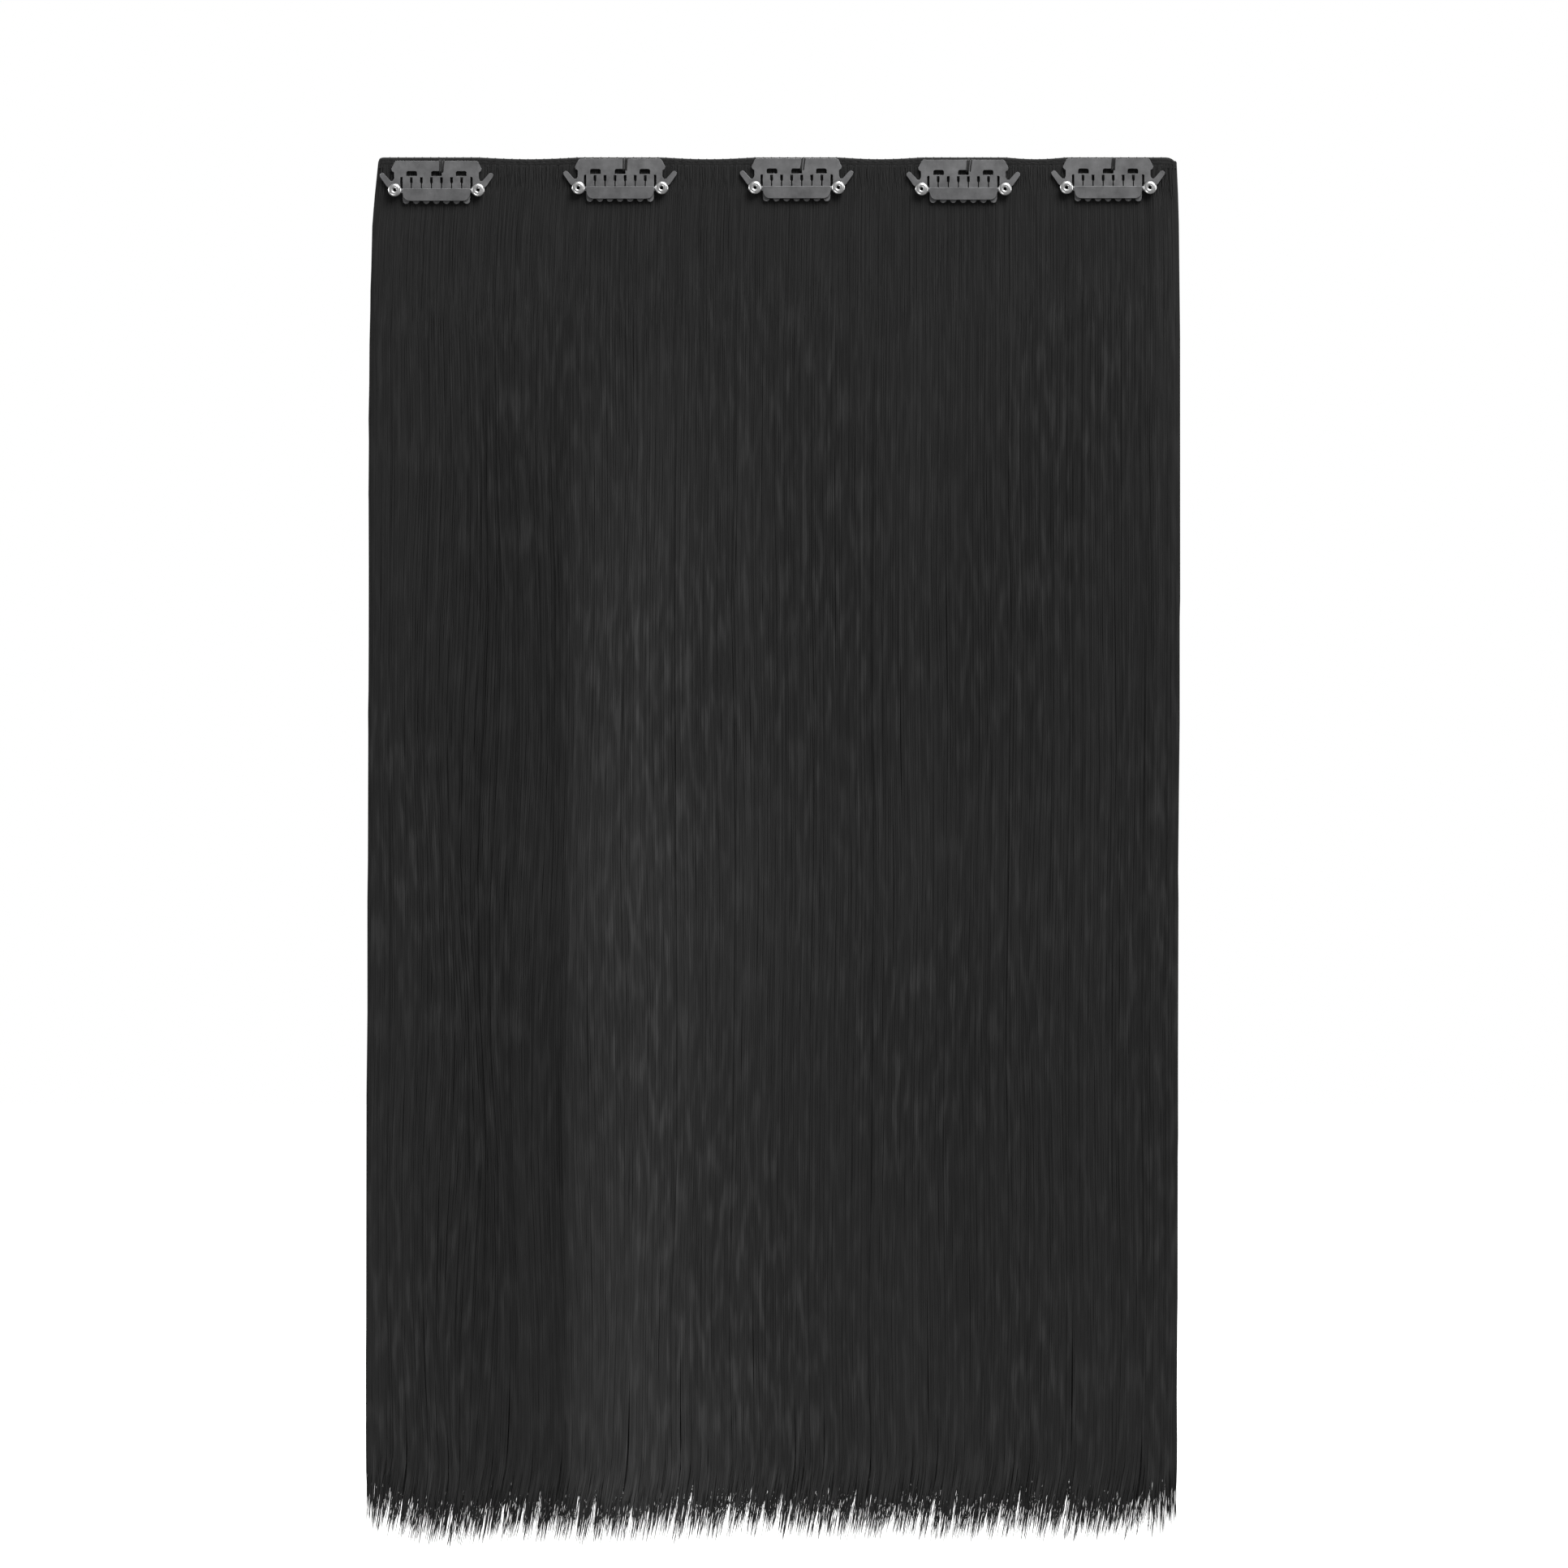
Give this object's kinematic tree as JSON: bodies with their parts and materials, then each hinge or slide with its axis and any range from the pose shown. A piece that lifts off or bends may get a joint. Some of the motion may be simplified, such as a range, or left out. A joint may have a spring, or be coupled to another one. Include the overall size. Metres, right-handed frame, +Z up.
{
  "type": "clip-in hair extension",
  "caption": "Straight dark hair hanging as a flat curtain from a narrow sewn weft band, with metal snap clips along the top that fasten it to the wearer's own hair.",
  "frame": {"origin": "middle of the weft band's top edge, where the extension hangs by its clips", "axes": "+X along the band to the right as seen from the clip side, +Z up along the hair, the clips face -Y"},
  "size_m": [0.2303, 0.0072, 0.3902],
  "materials": {
    "hair": "straight silky fibre",
    "weft": "sewn fibre seam",
    "clip_steel": "satin grey",
    "rivet_steel": "bright"
  },
  "bodies": {
    "extension": {"weft_band": "weft", "hair_curtain": "hair", "clip_1_comb": "clip_steel", "clip_1_rivet_left": "rivet_steel", "clip_1_rivet_right": "rivet_steel", "clip_2_comb": "clip_steel", "clip_2_rivet_left": "rivet_steel", "clip_2_rivet_right": "rivet_steel", "clip_3_comb": "clip_steel", "clip_3_rivet_left": "rivet_steel", "clip_3_rivet_right": "rivet_steel", "clip_4_comb": "clip_steel", "clip_4_rivet_left": "rivet_steel", "clip_4_rivet_right": "rivet_steel", "clip_5_comb": "clip_steel", "clip_5_rivet_left": "rivet_steel", "clip_5_rivet_right": "rivet_steel"},
    "bow_1": {"clip_1_bow": "clip_steel"},
    "bow_2": {"clip_2_bow": "clip_steel"},
    "bow_3": {"clip_3_bow": "clip_steel"},
    "bow_4": {"clip_4_bow": "clip_steel"},
    "bow_5": {"clip_5_bow": "clip_steel"}
  },
  "joints": [
    {"name": "clip_1_snap", "type": "hinge", "parent": "extension", "child": "bow_1", "pos_m": [-0.0952, -0.00315, -0.0094], "axis": [-1, 0, 0], "range_deg": [0, 70]},
    {"name": "clip_2_snap", "type": "hinge", "parent": "extension", "child": "bow_2", "pos_m": [-0.0432, -0.00315, -0.0088], "axis": [-1, 0, 0], "range_deg": [0, 70]},
    {"name": "clip_3_snap", "type": "hinge", "parent": "extension", "child": "bow_3", "pos_m": [0.0068, -0.00315, -0.0087], "axis": [-1, 0, 0], "range_deg": [0, 70]},
    {"name": "clip_4_snap", "type": "hinge", "parent": "extension", "child": "bow_4", "pos_m": [0.054, -0.00315, -0.0091], "axis": [-1, 0, 0], "range_deg": [0, 70]},
    {"name": "clip_5_snap", "type": "hinge", "parent": "extension", "child": "bow_5", "pos_m": [0.095, -0.00315, -0.0087], "axis": [-1, 0, 0], "range_deg": [0, 70]}
  ]
}
